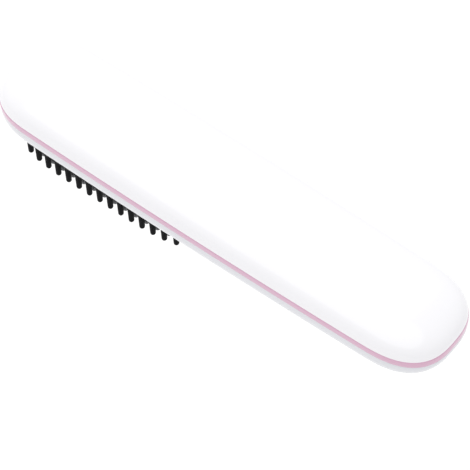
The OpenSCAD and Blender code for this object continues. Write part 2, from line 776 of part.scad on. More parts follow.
module battery_leads() color("#c22f35") {
    for (s = [0, 1]) mirror([0, s, 0]) lead(battery_route, battery_lead_d, 3);
}

// Tray that holds the cells over the board
module battery_tray() color("#d9d7d2") {
    half = cell_w / 2 + 0.15;
    l = tray_x1 - tray_x0;
    translate([tray_x0, 0, tray_z]) difference() {
        translate([0, -half - tray_t, 0]) cube([l, 2 * (half + tray_t), tray_h]);
        translate([-1, -half, tray_t]) cube([l + 1 - tray_t, 2 * half, tray_h]);
        for (x = [0.25, 0.5, 0.75]) translate([x * l, 0, -1]) slab([9, 18, 3], 2);
    }
}

module foam_pads() color("#4b4b50") {
    for (x = [28, 58]) translate([x, 0, cell_z + 2 * cell_t + cell_gap]) slab(foam, 1);
}

module shell_screws() color(screw_grey) {
    at(shell_screws_xy) translate([0, 0, seat_z]) mirror([0, 0, 1]) screw(shell_screw_l);
}

back_shell();
front_shell();
trim_band();
comb_frame();
heater_comb();
ceramic_heaters();
mica_sheet();
fibre_pad();
clamp_plate();
heat_shield();
clamp_screws();
frame_screws();
thermal_fuse();
thermistor();
heater_leads();
sensor_leads();
main_board();
board_screws();
switch_bodies();
power_plunger();
warmer_plunger();
cooler_plunger();
power_button();
warmer_button();
cooler_button();
display_lens();
display_module();
control_chips();
power_inductor();
smoothing_capacitor();
usb_shell();
usb_tongue();
battery_connector();
battery_cells();
cell_tabs();
protection_board();
battery_leads();
battery_tray();
foam_pads();
shell_screws();
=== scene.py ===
"""Looks of a cordless hair straightening brush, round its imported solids; lengths in metres."""

import json
import math

import bmesh
import bpy
from mathutils import Matrix, Vector


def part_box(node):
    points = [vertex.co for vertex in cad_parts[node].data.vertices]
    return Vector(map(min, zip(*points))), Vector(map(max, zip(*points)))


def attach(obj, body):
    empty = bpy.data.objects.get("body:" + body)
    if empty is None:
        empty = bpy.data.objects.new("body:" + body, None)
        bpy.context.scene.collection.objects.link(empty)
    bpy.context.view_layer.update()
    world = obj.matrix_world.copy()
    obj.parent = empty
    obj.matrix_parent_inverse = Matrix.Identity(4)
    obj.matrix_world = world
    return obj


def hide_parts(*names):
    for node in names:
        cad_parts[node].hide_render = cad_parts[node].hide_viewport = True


bl_info = {
    "name": "Hair straightening brush",
    "version": (1, 0, 0),
    "blender": (4, 5, 0),
    "location": "View3D > Sidebar > Brush",
    "description": "Dresses the packed solids of a cordless hair straightening brush",
    "category": "Object",
}

MM = 0.001
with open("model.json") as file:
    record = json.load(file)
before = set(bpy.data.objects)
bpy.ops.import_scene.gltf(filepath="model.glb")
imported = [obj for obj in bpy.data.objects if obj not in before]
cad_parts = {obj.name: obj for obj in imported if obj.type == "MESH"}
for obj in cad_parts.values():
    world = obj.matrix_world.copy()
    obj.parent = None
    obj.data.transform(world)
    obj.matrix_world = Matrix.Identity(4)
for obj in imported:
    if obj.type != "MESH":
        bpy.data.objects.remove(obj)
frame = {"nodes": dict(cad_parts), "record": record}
for spare in ("Cube", "Light", "Camera"):
    if spare in bpy.data.objects:
        bpy.data.objects.remove(bpy.data.objects[spare])
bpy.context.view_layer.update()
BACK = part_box("back_shell")
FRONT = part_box("front_shell")
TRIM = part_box("trim_band")
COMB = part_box("comb_frame")


def length(name, mm, text):
    """A length in millimetres as a property."""
    return bpy.props.FloatProperty(
        name=name, description=text, default=mm * MM, min=0, unit="LENGTH", precision=5
    )


def number(name, value, text):
    return bpy.props.FloatProperty(name=name, description=text, default=value)


def count(name, value, text):
    return bpy.props.IntProperty(name=name, description=text, default=value, min=1)


def colour(name, rgb, text):
    return bpy.props.FloatVectorProperty(
        name=name, description=text, default=rgb, size=3, subtype="COLOR", min=0, max=1
    )


class BrushBody(bpy.types.PropertyGroup):
    """Outline and section of the shells."""

    long: length("Length", (BACK[1].x - BACK[0].x) / MM, "Overall length of the shells")
    wide: length("Width", (BACK[1].y - BACK[0].y) / MM, "Width at the middle of the body")
    barrel: length("Barrel", 1.3, "How far each side draws in towards the ends")
    handle_cap: length("Handle cap", 27, "Length of the rounded end of the handle")
    head_cap: length("Head cap", 22, "Length of the rounded end of the head")
    handle_square: number("Handle squareness", 2.7, "Exponent of the handle end's outline")
    head_square: number("Head squareness", 2.7, "Exponent of the head end's outline")
    wall: length("Wall", 2, "Wall of the shells")
    proud: length("Trim proud", 0.15, "How far the trim band stands proud")


class BrushComb(bpy.types.PropertyGroup):
    """Guard teeth, heated teeth and the cup that holds them."""

    middle: length("Middle", 49.5, "Distance of the comb's middle from the body's middle")
    guard_a: length("Half length", 41, "Half the length of the ring of guard teeth")
    guard_b: length("Half width", 15.9, "Half the width of the ring of guard teeth")
    square: number("Squareness", 4.5, "Exponent of the comb's oval")
    ends: count("End teeth", 5, "Guard teeth round each end of the comb")
    tip: length("Tip", 2.1, "Diameter of a guard tooth at its tip")
    root: length("Root", 2.6, "Diameter of a guard tooth at its root")
    columns: count("Columns", 15, "Columns of heated teeth, and guard teeth along each side")
    pitch: length("Pitch", 4.91, "Spacing of the columns")
    thick: length("Tooth thickness", 3, "Thickness of a heated tooth along the brush")
    broad: length("Tooth width", 4.6, "Width of a heated tooth across the brush")
    short: length("Shorter by", 0.4, "How much shorter the heated teeth are")


class BrushColours(bpy.types.PropertyGroup):
    """Colours of the outer surfaces."""

    shell: colour("Back shell", (0.86, 0.855, 0.88), "Glossy white back")
    # The front shell's colour is the back's white made darker: painted shade standing in for the
    # dimmer light on the downward-facing tooth side
    front: colour("Front shell", (0.675, 0.68, 0.72), "Tooth side, a shade greyer than the back")
    trim: colour("Trim", (0.64, 0.365, 0.505), "Pink trim band and power button")
    comb: colour("Comb", (0.006, 0.006, 0.007), "Black comb frame and guard teeth")
    coating: colour("Coating", (0.105, 0.105, 0.112), "Coating of the heated comb")
    floor: colour("Floor", (0.97, 0.97, 0.97), "Plain pale floor")


class BrushStudio(bpy.types.PropertyGroup):
    """Camera and lights."""

    distance: length("Camera distance", 1600, "Distance from the camera to the middle of the band")
    lens: number("Lens", 339.0, "Focal length in millimetres")
    azimuth: number("Azimuth", 40.235, "Angle round the brush in degrees")
    elevation: number("Elevation", 57.76, "Angle above the horizon in degrees")
    roll: number("Roll", -3.243, "Turn of the picture in degrees")
    aim: length("Aim height", 26, "Height of the point that the camera turns about")
    across: length("Camera across", 1.56, "How far the camera stands to the right of that point")
    below: length("Camera below", 12.37, "How far the camera stands below that point")
    drop: length("Floor drop", 200, "How far the floor is under the tooth tips")
    far: number("Far light", 8.4, "Power of the large light above the far side, in watts")
    near: number("Near light", 6.1, "Power of the large light above the near side, in watts")
    sky: number("Sky", 0.87, "Strength of the even light all round")


GROUPS = {
    "brush_body": BrushBody,
    "brush_comb": BrushComb,
    "brush_colours": BrushColours,
    "brush_studio": BrushStudio,
}


def body():
    return bpy.context.scene.brush_body


def comb():
    return bpy.context.scene.brush_comb


def colours():
    return bpy.context.scene.brush_colours


# Levels, read from the solids, and the exponents of the shells' sections:
# sides, handle's end and head's end
TONGUE_H = 1.2 * MM
BAND_LOW = TRIM[0].z + TONGUE_H
BAND_HIGH = TRIM[1].z - TONGUE_H
CROWN = BACK[1].z
UNDER = FRONT[0].z
FACE = UNDER - 0.7 * MM
FLOOR = UNDER + 2 * MM
CUP_TOP = UNDER + 6 * MM
PLATE = FACE + 3.1 * MM
BACK_SECTION = (2.9, 2.4, 2.4)
FRONT_SECTION = (3.25, 2.5, 2.8)
RINGS = 30


# Mesh helpers


def even_angles(reach, height, p, steps):
    """Angles that space a superellipse's quarter evenly along its length."""
    fine = 600
    points = [
        Vector((reach * math.cos(a) ** (2 / p), height * math.sin(a) ** (2 / p), 0))
        for a in (math.pi / 2 * i / fine for i in range(fine + 1))
    ]
    run = [0.0]
    for i in range(fine):
        run.append(run[-1] + (points[i + 1] - points[i]).length)
    angles, i = [], 0
    for k in range(steps + 1):
        goal = run[-1] * k / steps
        while i < fine and run[i + 1] < goal:
            i += 1
        share = (goal - run[i]) / max(run[min(i + 1, fine)] - run[i], 1e-12) if i < fine else 0
        angles.append(math.pi / 2 * min(i + share, fine) / fine)
    return angles


def half_width(x):
    """Half the body's width at a place along it."""
    b = body()
    return b.wide / 2 - b.barrel * (x / (b.long / 2)) ** 2


def outline(z, side, handle, head):
    """The body's outline at height z, drawn in at the sides and at the handle's and head's ends."""
    b = body()
    handle_x, head_x = b.long / 2 - b.handle_cap, b.long / 2 - b.head_cap
    half = []
    for a in even_angles(b.handle_cap, b.wide / 2, b.handle_square, 34):
        x = handle_x + (b.handle_cap - handle) * math.cos(a) ** (2 / b.handle_square)
        half.append((x, (half_width(x) - side) * math.sin(a) ** (2 / b.handle_square)))
    for i in range(1, 40):
        x = handle_x - (handle_x + head_x) * i / 40
        half.append((x, half_width(x) - side))
    for a in reversed(even_angles(b.head_cap, b.wide / 2, b.head_square, 30)):
        x = -head_x - (b.head_cap - head) * math.cos(a) ** (2 / b.head_square)
        half.append((x, (half_width(x) - side) * math.sin(a) ** (2 / b.head_square)))
    other = [(x, -y) for x, y in reversed(half[1:-1])]
    return [Vector((x, y, z)) for x, y in half + other]


def even_outline(z, inset):
    """The body's outline at height z, drawn in by the same amount all round."""
    return outline(z, inset, inset, inset)


def drawn(share, reach, p):
    """How far a section of exponent p has drawn in at a share of its height."""
    return reach * (1 - (1 - share**p) ** (1 / p))


def skin_ring(rim, height, section, under, angle):
    """One ring of a shell's skin, at an angle up its section and some way under the outer skin."""
    b = body()
    share = math.sin(angle) ** (2 / section[0])
    level = (abs(height) - under) * share
    return outline(
        rim + math.copysign(level, height),
        under + drawn(share, b.wide / 2 - under, section[0]),
        under + drawn(share, b.handle_cap - under, section[1]),
        under + drawn(share, b.head_cap - under, section[2]),
    )


def section_angles(height, section):
    """Angles of the rings, up to a flat that is too narrow to see."""
    flat = 3 * MM
    end = math.acos((flat / body().wide) ** (section[0] / 2))
    angles = even_angles(body().wide / 2, abs(height), section[0], RINGS)
    return [a for a in angles if a < end - 0.01] + [end]


def join(bm, made):
    """Faces between each ring of vertices and the next."""
    for low, high in zip(made, made[1:]):
        for k in range(len(low)):
            m = (k + 1) % len(low)
            bm.faces.new((low[k], low[m], high[m], high[k]))


def loft(bm, rings, loop=False):
    """Joins closed rings of points in order, with the ends capped, or joined in a loop."""
    made = [[bm.verts.new(p) for p in ring] for ring in rings]
    join(bm, made + made[:1] if loop else made)
    if not loop:
        bm.faces.new(list(reversed(made[0])))
        bm.faces.new(made[-1])
    return bm


def oval(a, b, z, steps=24, square=None):
    """An oval of the comb's family."""
    c = comb()
    power = 2 / (square or c.square)
    points = []
    for i in range(4 * steps):
        t = math.pi / 2 * i / steps
        x = math.copysign(abs(math.cos(t)) ** power, math.cos(t))
        y = math.copysign(abs(math.sin(t)) ** power, math.sin(t))
        points.append(Vector((a * x - c.middle, b * y, z)))
    return points


def rounded(long, wide, r, z, x=0.0, y=0.0, steps=8):
    """A rectangle with round corners, anticlockwise."""
    points = []
    for cx, cy, start in ((1, 1, 0), (-1, 1, 90), (-1, -1, 180), (1, -1, 270)):
        for i in range(steps + 1):
            t = math.radians(start + 90 * i / steps)
            px = cx * (long / 2 - r) + r * math.cos(t)
            py = cy * (wide / 2 - r) + r * math.sin(t)
            points.append(Vector((x + px, y + py, z)))
    return points


def lathe(bm, profile, x=0.0, y=0.0, steps=64):
    """A closed solid turned from (radius, height) pairs whose two ends are on the axis."""
    turns = [2 * math.pi * k / steps for k in range(steps)]
    made = []
    for r, z in profile[1:-1]:
        made.append([bm.verts.new((x + r * math.cos(t), y + r * math.sin(t), z)) for t in turns])
    join(bm, made)
    for ring, end in ((made[0], profile[0]), (made[-1], profile[-1])):
        tip = bm.verts.new((x, y, end[1]))
        for k in range(steps):
            bm.faces.new((ring[k], ring[(k + 1) % steps], tip))
    return bm


def round_over(soft, steps):
    """Insets and heights of a quarter-round edge, from its outer face."""
    turns = [math.pi / 2 * k / steps for k in range(steps + 1)]
    return [(soft * (1 - math.sin(t)), soft * (1 - math.cos(t))) for t in turns]


def rod(bm, x, y, z0, z1, r, steps=40):
    return lathe(bm, [(0, z0), (r, z0), (r, z1), (0, z1)], x, y, steps)


def make(name, bm):
    """A new object at the origin from a mesh whose faces are turned outwards."""
    bmesh.ops.recalc_face_normals(bm, faces=bm.faces)
    mesh = bpy.data.meshes.new(name)
    bm.to_mesh(mesh)
    bm.free()
    obj = bpy.data.objects.new(name, mesh)
    bpy.context.scene.collection.objects.link(obj)
    return obj


def plain_mesh(obj):
    """Turns the evaluated object into its own plain mesh, without modifiers or empty slots."""
    graph = bpy.context.evaluated_depsgraph_get()
    graph.update()
    mesh = bpy.data.meshes.new_from_object(obj.evaluated_get(graph))
    for i in reversed(range(len(mesh.materials))):
        if not mesh.materials[i]:
            mesh.materials.pop(index=i)
    old = obj.data
    obj.modifiers.clear()
    obj.data = mesh
    bpy.data.meshes.remove(old)
    return obj


def discard(obj):
    """Removes an object and its mesh."""
    mesh = obj.data
    bpy.data.objects.remove(obj)
    bpy.data.meshes.remove(mesh)


def carve(obj, *steps):
    """Joins, cuts or trims a closed solid by others, in order, and removes those."""
    for kind, other in steps:
        tool = obj.modifiers.new(other.name, "BOOLEAN")
        tool.operation = kind
        tool.solver = "MANIFOLD"
        tool.object = other
    plain_mesh(obj)
    for _, other in steps:
        discard(other)
    return obj


def solid(name, build, *values):
    """A solid that the function given fills in with the values that follow."""
    bm = bmesh.new()
    build(bm, *values)
    return make(name, bm)


def add(name, build, *values):
    """A step of carving that joins a solid on."""
    return "UNION", solid(name, build, *values)


def cut(name, build, *values):
    """A step of carving that cuts a solid away."""
    return "DIFFERENCE", solid(name, build, *values)


def between(name, low, high):
    """A block between two corners, given in millimetres."""
    (x0, y0, z0), (x1, y1, z1) = (Vector(v) * MM for v in (low, high))
    corners = ((x0, y0), (x1, y0), (x1, y1), (x0, y1))
    return solid(name, loft, [[Vector((x, y, z)) for x, y in corners] for z in (z0, z1)])


def finish_piece(obj, slot, nodes=(), rider="root", angle=32, finish=None):
    """Smooths a piece, gives it its finish and fixes it to its body."""
    mesh = obj.data
    mesh.shade_smooth()
    mesh.set_sharp_from_angle(angle=math.radians(angle))
    if not mesh.materials:
        mesh.materials.append(finish or FINISHED[slot])
    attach(obj, rider)
    if nodes:
        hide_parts(*nodes)
    return obj


# Shader groups and finishes

FINISHED = {}
PATTERNS = {}


class Term:
    """A socket with arithmetic, for shader trees and geometry trees alike."""

    def __init__(self, tree, socket):
        self.tree, self.socket = tree, socket

    def math(self, operation, *others):
        node = self.tree.nodes.new("ShaderNodeMath")
        node.operation = operation
        for slot, value in zip(node.inputs, (self, *others)):
            plug(self.tree, slot, value)
        return Term(self.tree, node.outputs[0])

    def __add__(self, other):
        return self.math("ADD", other)

    def __sub__(self, other):
        return self.math("SUBTRACT", other)

    def __mul__(self, other):
        return self.math("MULTIPLY", other)

    def __truediv__(self, other):
        return self.math("DIVIDE", other)

    def __pow__(self, other):
        return self.math("POWER", other)


def plug(tree, socket, value):
    """Links a socket or Term, or sets a plain value."""
    if isinstance(value, Term):
        value = value.socket
    if isinstance(value, bpy.types.NodeSocket):
        tree.links.new(value, socket)
    else:
        socket.default_value = value


def put(tree, kind, settings=None, **inputs):
    """Adds a node with settings, and values for its inputs by name, with underscores for spaces."""
    node = tree.nodes.new(kind)
    for key, value in (settings or {}).items():
        setattr(node, key, value)
    for key, value in inputs.items():
        plug(tree, node.inputs[key.replace("_", " ")], value)
    return node


def new_group(kind, name, inputs, outputs):
    """A node group with named sockets; each is (name, type) or (name, type, default)."""
    tree = bpy.data.node_groups.new(name, kind)
    for direction, sockets in (("INPUT", inputs), ("OUTPUT", outputs)):
        for label, socket, *default in sockets:
            made = tree.interface.new_socket(name=label, in_out=direction, socket_type=socket)
            if default:
                made.default_value = default[0]
    return tree, tree.nodes.new("NodeGroupInput"), tree.nodes.new("NodeGroupOutput")


PATTERN_IN = [
    ("Vector", "NodeSocketVector"),
    ("Scale", "NodeSocketFloat", 1000.0),
    ("Stretch", "NodeSocketVector", (1.0, 1.0, 1.0)),
]
PATTERN_OUT = [(label, "NodeSocketFloat") for label in ("Height", "Shade", "Gloss")]


def pattern(name, build):
    """A surface pattern as a shader group, with a height, a shade and a gloss that vary."""
    tree, start, end = new_group("ShaderNodeTree", name, PATTERN_IN, PATTERN_OUT)
    scaled = put(tree, "ShaderNodeVectorMath", {"operation": "MULTIPLY"})
    tree.links.new(start.outputs["Vector"], scaled.inputs[0])
    tree.links.new(start.outputs["Stretch"], scaled.inputs[1])
    height, shade, gloss = build(tree, scaled.outputs[0], Term(tree, start.outputs["Scale"]))
    for label, value in (("Height", height), ("Shade", shade), ("Gloss", gloss)):
        plug(tree, end.inputs[label], value)
    return tree


def noise(tree, vector, scale, detail=2.0, rough=0.5, warp=0.0):
    """Noise between 0 and 1."""
    sizes = {"Scale": scale, "Detail": detail, "Roughness": rough, "Distortion": warp}
    return Term(tree, put(tree, "ShaderNodeTexNoise", Vector=vector, **sizes).outputs["Fac"])


def moulded(tree, vector, scale):
    """Moulded plastic: fine orange peel, a slow drift of shade, and smudges from handling."""
    peel = noise(tree, vector, scale, 2.0)
    drift = noise(tree, vector, scale * 0.04, 3.0)
    smudge = noise(tree, vector, scale * 0.09, 4.0, 0.62, 0.6)
    return peel, drift, smudge


def satin(tree, vector, scale):
    """Spark-eroded satin plastic: fine grain with a coarser one under it."""
    fine = noise(tree, vector, scale, 3.0, 0.7)
    coarse = noise(tree, vector, scale * 0.2, 2.0)
    return fine * 0.7 + coarse * 0.3, noise(tree, vector, scale * 0.03, 3.0), fine


def brushed(tree, vector, scale):
    """Metal with lines along one way."""
    lines = noise(tree, vector, scale, 4.0, 0.6)
    return lines, noise(tree, vector, scale * 0.2, 3.0), lines


def fibres(tree, vector, scale):
    """Felt, foam and other open stuff."""
    mat = noise(tree, vector, scale, 6.0, 0.75, 2.0)
    cells = put(tree, "ShaderNodeTexVoronoi", Vector=vector, Scale=scale * 0.8)
    dent = Term(tree, cells.outputs["Distance"])
    return mat * 0.6 + dent * 0.4, mat, dent


def sheet_layers(tree, vector, scale):
    """Foil, mica and solder mask: flat panes with fine seams between them."""
    edges = {"feature": "DISTANCE_TO_EDGE"}
    cells = put(tree, "ShaderNodeTexVoronoi", edges, Vector=vector, Scale=scale * 0.35)
    seam = Term(tree, cells.outputs["Distance"]).math("MINIMUM", 0.12) / 0.12
    wave = noise(tree, vector, scale * 0.2, 2.0, 0.5, 0.8)
    return seam * 0.4 + wave * 0.6, wave, seam


def finish(
    slot, look, rgb, rough, scale, depth, tone=0.06, spread=0.06, metal=0.0, coat=0.0, **more
):
    """A Principled material whose colour, roughness and bump follow one of the patterns.

    Tone and spread say how far colour and roughness vary; the depth of the bump is in millimetres.
    """
    mat = bpy.data.materials.new(slot)
    mat.use_nodes = True
    tree = mat.node_tree
    shader = tree.nodes["Principled BSDF"]
    place = tree.nodes.new("ShaderNodeTexCoord")
    group = tree.nodes.new("ShaderNodeGroup")
    group.node_tree = PATTERNS[look]
    tree.links.new(place.outputs["Object"], group.inputs["Vector"])
    group.inputs["Scale"].default_value = scale
    group.inputs["Stretch"].default_value = more.pop("stretch", (1, 1, 1))
    mix = put(tree, "ShaderNodeMix", {"data_type": "RGBA"})
    plug(tree, mix.inputs[0], group.outputs["Shade"])
    mix.inputs[6].default_value = (*[c * (1 - tone) for c in rgb], 1)
    mix.inputs[7].default_value = (*[min(1, c * (1 + tone)) for c in rgb], 1)
    tree.links.new(mix.outputs[2], shader.inputs["Base Color"])
    gloss = Term(tree, group.outputs["Gloss"]) * (2 * spread) + (rough - spread)
    plug(tree, shader.inputs["Roughness"], gloss)
    height = group.outputs["Height"]
    bump = put(tree, "ShaderNodeBump", Strength=1.0, Distance=depth * MM, Height=height)
    tree.links.new(bump.outputs[0], shader.inputs["Normal"])
    shader.inputs["Metallic"].default_value = metal
    shader.inputs["Coat Weight"].default_value = coat
    for key, value in more.items():
        shader.inputs[key.replace("_", " ")].default_value = value
    FINISHED[slot] = mat
    return mat


def bare_metal(slot, rgb, rough, scale, depth=0.003, along=1.0):
    """Brushed metal; below 1, along draws its lines out along the body."""
    return finish(slot, "brushed", rgb, rough, scale, depth, metal=1.0, stretch=(along, 1, 1))


def plain_satin(slot, rgb, rough, scale=2600, depth=0.01):
    """Satin plastic, silicone or ceramic."""
    return finish(slot, "satin", rgb, rough, scale, depth)


class BRUSH_OT_finishes(bpy.types.Operator):
    """Makes every finish and gives the carried-over solids theirs"""

    bl_idname = "brush.finishes"
    bl_label = "Finishes"

    def execute(self, context):
        for name, build in (
            ("Moulded Plastic", moulded),
            ("Satin Plastic", satin),
            ("Brushed Metal", brushed),
            ("Fibres", fibres),
            ("Sheet Layers", sheet_layers),
        ):
            PATTERNS[build.__name__] = pattern(name, build)
        self.outer_finishes()
        self.inner_finishes()
        slots = {part["node"]: part["material_slot"] for part in frame["record"]["subparts"]}
        for node, obj in frame["nodes"].items():
            for slot in obj.material_slots:
                slot.material = FINISHED[slots[node]]
        return {"FINISHED"}

    def outer_finishes(self):
        """Finishes of what shows from outside."""
        c = colours()
        glossy = {"scale": 900, "depth": 0.004, "spread": 0.05, "coat": 0.5, "Coat_Roughness": 0.06}
        finish("shell_white", "moulded", c.shell, 0.16, tone=0.012, **glossy)
        # Same plastic as the back shell, greyer by painted shade for the tooth side's dimmer light
        finish("front_white", "moulded", c.front, 0.16, tone=0.012, **glossy)
        finish("trim_pink", "moulded", c.trim, 0.2, tone=0.03, **glossy)
        finish("comb_black", "satin", c.comb, 0.5, 2600, 0.012, tone=0.25, Specular_IOR_Level=0.03)
        finish("comb_grey", "satin", c.coating, 0.42, 3200, 0.012, tone=0.2, spread=0.1, metal=0.35)
        smoke = (0.012, 0.012, 0.015)
        finish("lens_smoke", "moulded", smoke, 0.08, 700, 0.001, tone=0.1, spread=0.03, coat=0.8)
        bare_metal("screw_steel", (0.42, 0.42, 0.44), 0.3, 3000, 0.004)
        bare_metal("socket_steel", (0.66, 0.67, 0.69), 0.26, 2400, 0.003, 0.1)
        bare_metal("contact_gold", (0.83, 0.62, 0.25), 0.25, 3000, 0.002)
        plain_satin("button_ink", (0.16, 0.15, 0.16), 0.5)

    def inner_finishes(self):
        """Finishes of the parts inside."""
        plain_satin("ceramic_ivory", (0.80, 0.74, 0.62), 0.55, 1800, 0.02)
        plain_satin("lead_red", (0.50, 0.03, 0.035), 0.5, 3000)
        plain_satin("lead_white", (0.80, 0.78, 0.72), 0.5, 3000)
        plain_satin("switch_black", (0.02, 0.02, 0.021), 0.45)
        plain_satin("plunger_tan", (0.32, 0.27, 0.22), 0.5)
        plain_satin("display_grey", (0.06, 0.06, 0.07), 0.5)
        plain_satin("chip_black", (0.02, 0.02, 0.02), 0.55)
        plain_satin("ferrite_grey", (0.09, 0.09, 0.10), 0.7, 1500, 0.03)
        plain_satin("connector_ivory", (0.84, 0.80, 0.70), 0.45, 2200)
        plain_satin("tray_grey", (0.66, 0.65, 0.62), 0.45, 2200, 0.012)
        bare_metal("clamp_steel", (0.55, 0.56, 0.58), 0.34, 2200, 0.004, 0.06)
        bare_metal("shield_aluminium", (0.72, 0.73, 0.75), 0.38, 1800, 0.004, 0.08)
        bare_metal("fuse_brass", (0.72, 0.52, 0.22), 0.28, 2600)
        bare_metal("can_aluminium", (0.72, 0.73, 0.74), 0.3, 1600)
        bare_metal("tab_nickel", (0.66, 0.66, 0.63), 0.3, 2600)
        finish("bead_glass", "moulded", (0.16, 0.08, 0.04), 0.1, 2500, 0.004, coat=0.6)
        finish("mica_tan", "sheet_layers", (0.48, 0.36, 0.20), 0.35, 900, 0.03, tone=0.2)
        finish("cell_foil", "sheet_layers", (0.66, 0.68, 0.72), 0.36, 500, 0.06, metal=0.9)
        solder_mask = {"scale": 700, "depth": 0.02, "tone": 0.25, "coat": 0.3}
        finish("board_green", "sheet_layers", (0.03, 0.17, 0.08), 0.35, **solder_mask)
        finish("guard_board_green", "sheet_layers", (0.02, 0.12, 0.06), 0.35, **solder_mask)
        finish("fibre_white", "fibres", (0.86, 0.85, 0.80), 0.95, 1600, 0.15, tone=0.1, spread=0.03)
        finish("foam_grey", "fibres", (0.07, 0.07, 0.08), 0.95, 2400, 0.2, tone=0.2, spread=0.03)


# Shells and trim


def shell_solid(name, rim, height, section):
    """A shell with its inner skin and the rebate for the trim's tongue."""
    wall = body().wall
    up = math.copysign(1, height)
    lip = 0.1 * MM
    angles = section_angles(height, section)
    outer = [skin_ring(rim, height, section, 0, a) for a in angles[1:]]
    inner = [skin_ring(rim, height, section, wall, a) for a in reversed(angles[2:])]
    edge = ((0, 1), (0.4, 0.3), (1.4, 0))
    outer = [even_outline(rim + up * rise * lip, inset * lip) for rise, inset in edge] + outer
    rebate, deep = 1.1 * MM, up * 1.35 * MM
    tongue_seat = ((deep, wall), (deep, rebate), (0, rebate))
    rims = [even_outline(rim + rise, inset) for rise, inset in tongue_seat]
    return solid(name, loft, inner + rims + outer)


def room(name, rim, height, section, under):
    """The solid room inside a shell's outer skin."""
    rings = [skin_ring(rim, height, section, under, a) for a in section_angles(height, section)]
    return solid(name, loft, rings)


# Places in millimetres: the shell screws, the comb's ears, the board's feet, and each button's
# place along the body with its diameter
SCREWS = [(-94.9, -7), (-94.9, 7), (6, -16.2), (6, 16.2), (80, -13), (80, 13)]
EARS = [(-94.9, 0), (-3.6, -8), (-3.6, 8)]
BOARD_FEET = [(14, -10.6), (14, 10.6), (66, -10.6), (66, 10.6)]
KEYS = {"power_button": (54, 11), "warmer_button": (29, 8), "cooler_button": (40, 8)}
SEAT = UNDER + 4.5 * MM
EAR_LOW = UNDER + 7.5 * MM
POST_TOP = UNDER + 8.2 * MM
BOARD_Z = UNDER + 4.8 * MM
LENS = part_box("display_lens")
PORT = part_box("usb_shell")
PORT_Z = (PORT[0].z + PORT[1].z) / 2
PILOT_R, CLEAR_R, BOSS_R, EAR_R, POST_R = (r * MM for r in (0.85, 1.15, 2.1, 2.3, 2.8))


def port_ring(x, wide, tall, r, steps=8):
    """A ring with rounded corners, stood across the body at x round the port's middle."""
    return [Vector((x, p.x, PORT_Z + p.y)) for p in rounded(wide, tall, r, 0, steps=steps)]


def rods(bm, places, z0, z1, r):
    """Rods at places given in millimetres."""
    for x, y in places:
        rod(bm, x * MM, y * MM, z0, z1, r)


class BRUSH_OT_back_cover(bpy.types.Operator):
    """Smooth glossy back shell with its screw bosses"""

    bl_idname = "brush.back_cover"
    bl_label = "Back cover"

    def execute(self, context):
        height = CROWN - BAND_HIGH
        clear = body().wall + 0.8 * MM
        obj = shell_solid("back_cover", BAND_HIGH, height, BACK_SECTION)
        bosses = solid("bosses", rods, SCREWS, BAND_HIGH + 1.5 * MM, CROWN, BOSS_R)
        carve(bosses, ("INTERSECT", room("back_room", BAND_HIGH, height, BACK_SECTION, 1 * MM)))
        stems = solid("stems", rods, SCREWS, POST_TOP, BAND_HIGH + 2 * MM, BOSS_R)
        inside = [even_outline(z, clear) for z in (UNDER, CROWN)]
        carve(stems, ("INTERSECT", solid("inside", loft, inside)))
        holes = cut("holes", rods, SCREWS, POST_TOP - MM, POST_TOP + 8 * MM, PILOT_R)
        carve(obj, ("UNION", bosses), ("UNION", stems), holes)
        finish_piece(obj, "shell_white", ["back_shell"])
        return {"FINISHED"}


